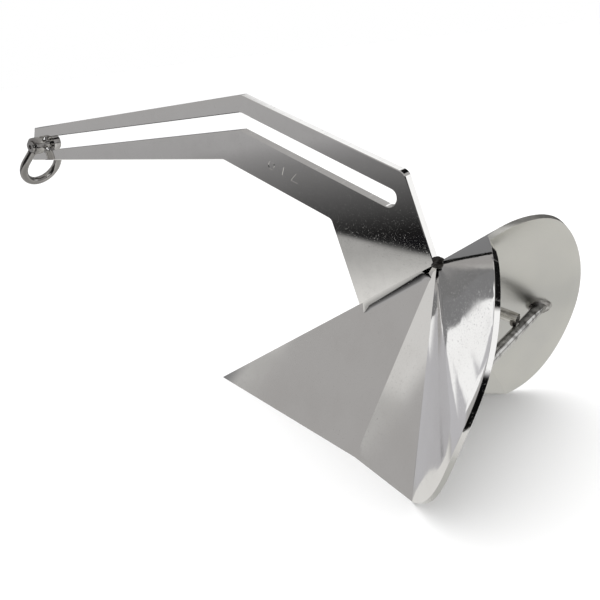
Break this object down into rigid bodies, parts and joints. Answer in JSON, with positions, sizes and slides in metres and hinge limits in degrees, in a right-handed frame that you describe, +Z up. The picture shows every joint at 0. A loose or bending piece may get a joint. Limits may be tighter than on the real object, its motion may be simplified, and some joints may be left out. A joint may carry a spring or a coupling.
{
  "type": "plough boat anchor",
  "caption": "Polished stainless plough anchor with a cranked slotted shank, folded twin fluke plates and a bow shackle that slides along the slot.",
  "frame": {"origin": "on the floor, on the centre plane, midway between the front of the bow shackle and the wing rims", "axes": "+X aft along the keel line from shackle to wings, +Y to starboard, +Z up; the anchor stands on its toe and both lower wing edges"},
  "size_m": [0.651, 0.253, 0.3149],
  "materials": {
    "polished_steel": "mirror polished stainless steel",
    "shackle_steel": "polished stainless steel",
    "brushed_plate": "plain stainless plate",
    "weld": "ground weld",
    "ballast": "cast"
  },
  "bodies": {
    "anchor": {"shank": "polished_steel", "port_fluke_plate": "polished_steel", "starboard_fluke_plate": "polished_steel", "toe_closure_plate": "brushed_plate", "toe_ballast": "ballast", "ballast_bulkhead": "brushed_plate", "cross_bar": "polished_steel", "port_strut": "polished_steel", "starboard_strut": "polished_steel", "port_strut_weld": "weld", "starboard_strut_weld": "weld", "port_bar_weld": "weld", "starboard_bar_weld": "weld", "port_closure_seam": "weld", "starboard_closure_seam": "weld", "port_root_weld": "weld", "starboard_root_weld": "weld", "inner_ridge_weld": "weld", "heel_weld": "weld"},
    "pin": {"shackle_pin": "shackle_steel"},
    "bow": {"bow_shackle": "shackle_steel"}
  },
  "joints": [
    {"name": "pin_slide", "type": "slide", "parent": "anchor", "child": "pin", "axis": [0.998, 0, 0.0628], "range_m": [0, 0.3]},
    {"name": "bow_swing", "type": "hinge", "parent": "pin", "child": "bow", "pos_m": [-0.2886, 0, 0.2704], "axis": [0, 1, 0], "range_deg": [-58, 8]}
  ]
}
